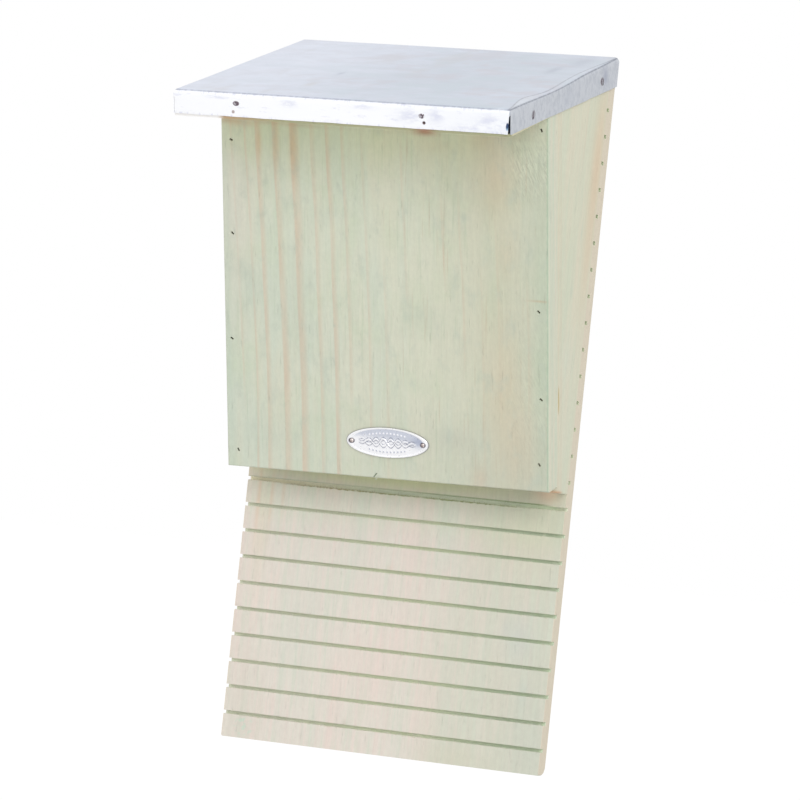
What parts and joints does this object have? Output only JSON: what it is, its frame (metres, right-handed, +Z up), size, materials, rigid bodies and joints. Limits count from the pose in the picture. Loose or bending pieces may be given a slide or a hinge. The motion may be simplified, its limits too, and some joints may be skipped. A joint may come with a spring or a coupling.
{
  "type": "bat box",
  "caption": "Wedge-shaped wooden bat box with a grooved back board, an open entry slit below the chamber and a sheet-metal roof cap, hung by a keyhole slot.",
  "frame": {"origin": "centre of the keyhole slot's round entry hole, on the rear face of the back board (the wall plane)", "axes": "+Z up along the back board, +Y into the wall, +X to the right as seen from the front"},
  "size_m": [0.2222, 0.1868, 0.459],
  "materials": {
    "back_board_pine": "sawn pine, pale pinkish cream with a green tinge",
    "side_board_pine": "sawn pine, pale green impregnated",
    "front_board_pine": "planed pine, pale green impregnated",
    "roof_board_pine": "sawn pine, pale green impregnated",
    "zinc_sheet": "matt zinc-coated sheet, pale bluish grey",
    "name_plate_aluminium": "bright pressed aluminium",
    "brass_pin": "worn brass",
    "nail_steel": "dull steel, stained",
    "zinc_nail": "dull zinc"
  },
  "bodies": {
    "root": {"back_board": "back_board_pine", "left_side_board": "side_board_pine", "right_side_board": "side_board_pine", "front_board": "front_board_pine", "roof_board": "roof_board_pine", "roof_sheet": "zinc_sheet", "name_plate": "name_plate_aluminium", "name_plate_pins": "brass_pin", "front_nails_left": "nail_steel", "front_nails_right": "nail_steel", "back_nails_left": "nail_steel", "back_nails_right": "nail_steel", "roof_nails_left": "nail_steel", "roof_nails_right": "nail_steel", "roof_nails_front": "nail_steel", "sheet_nails_front": "zinc_nail", "sheet_nails_left": "zinc_nail", "sheet_nails_right": "zinc_nail"}
  },
  "joints": []
}
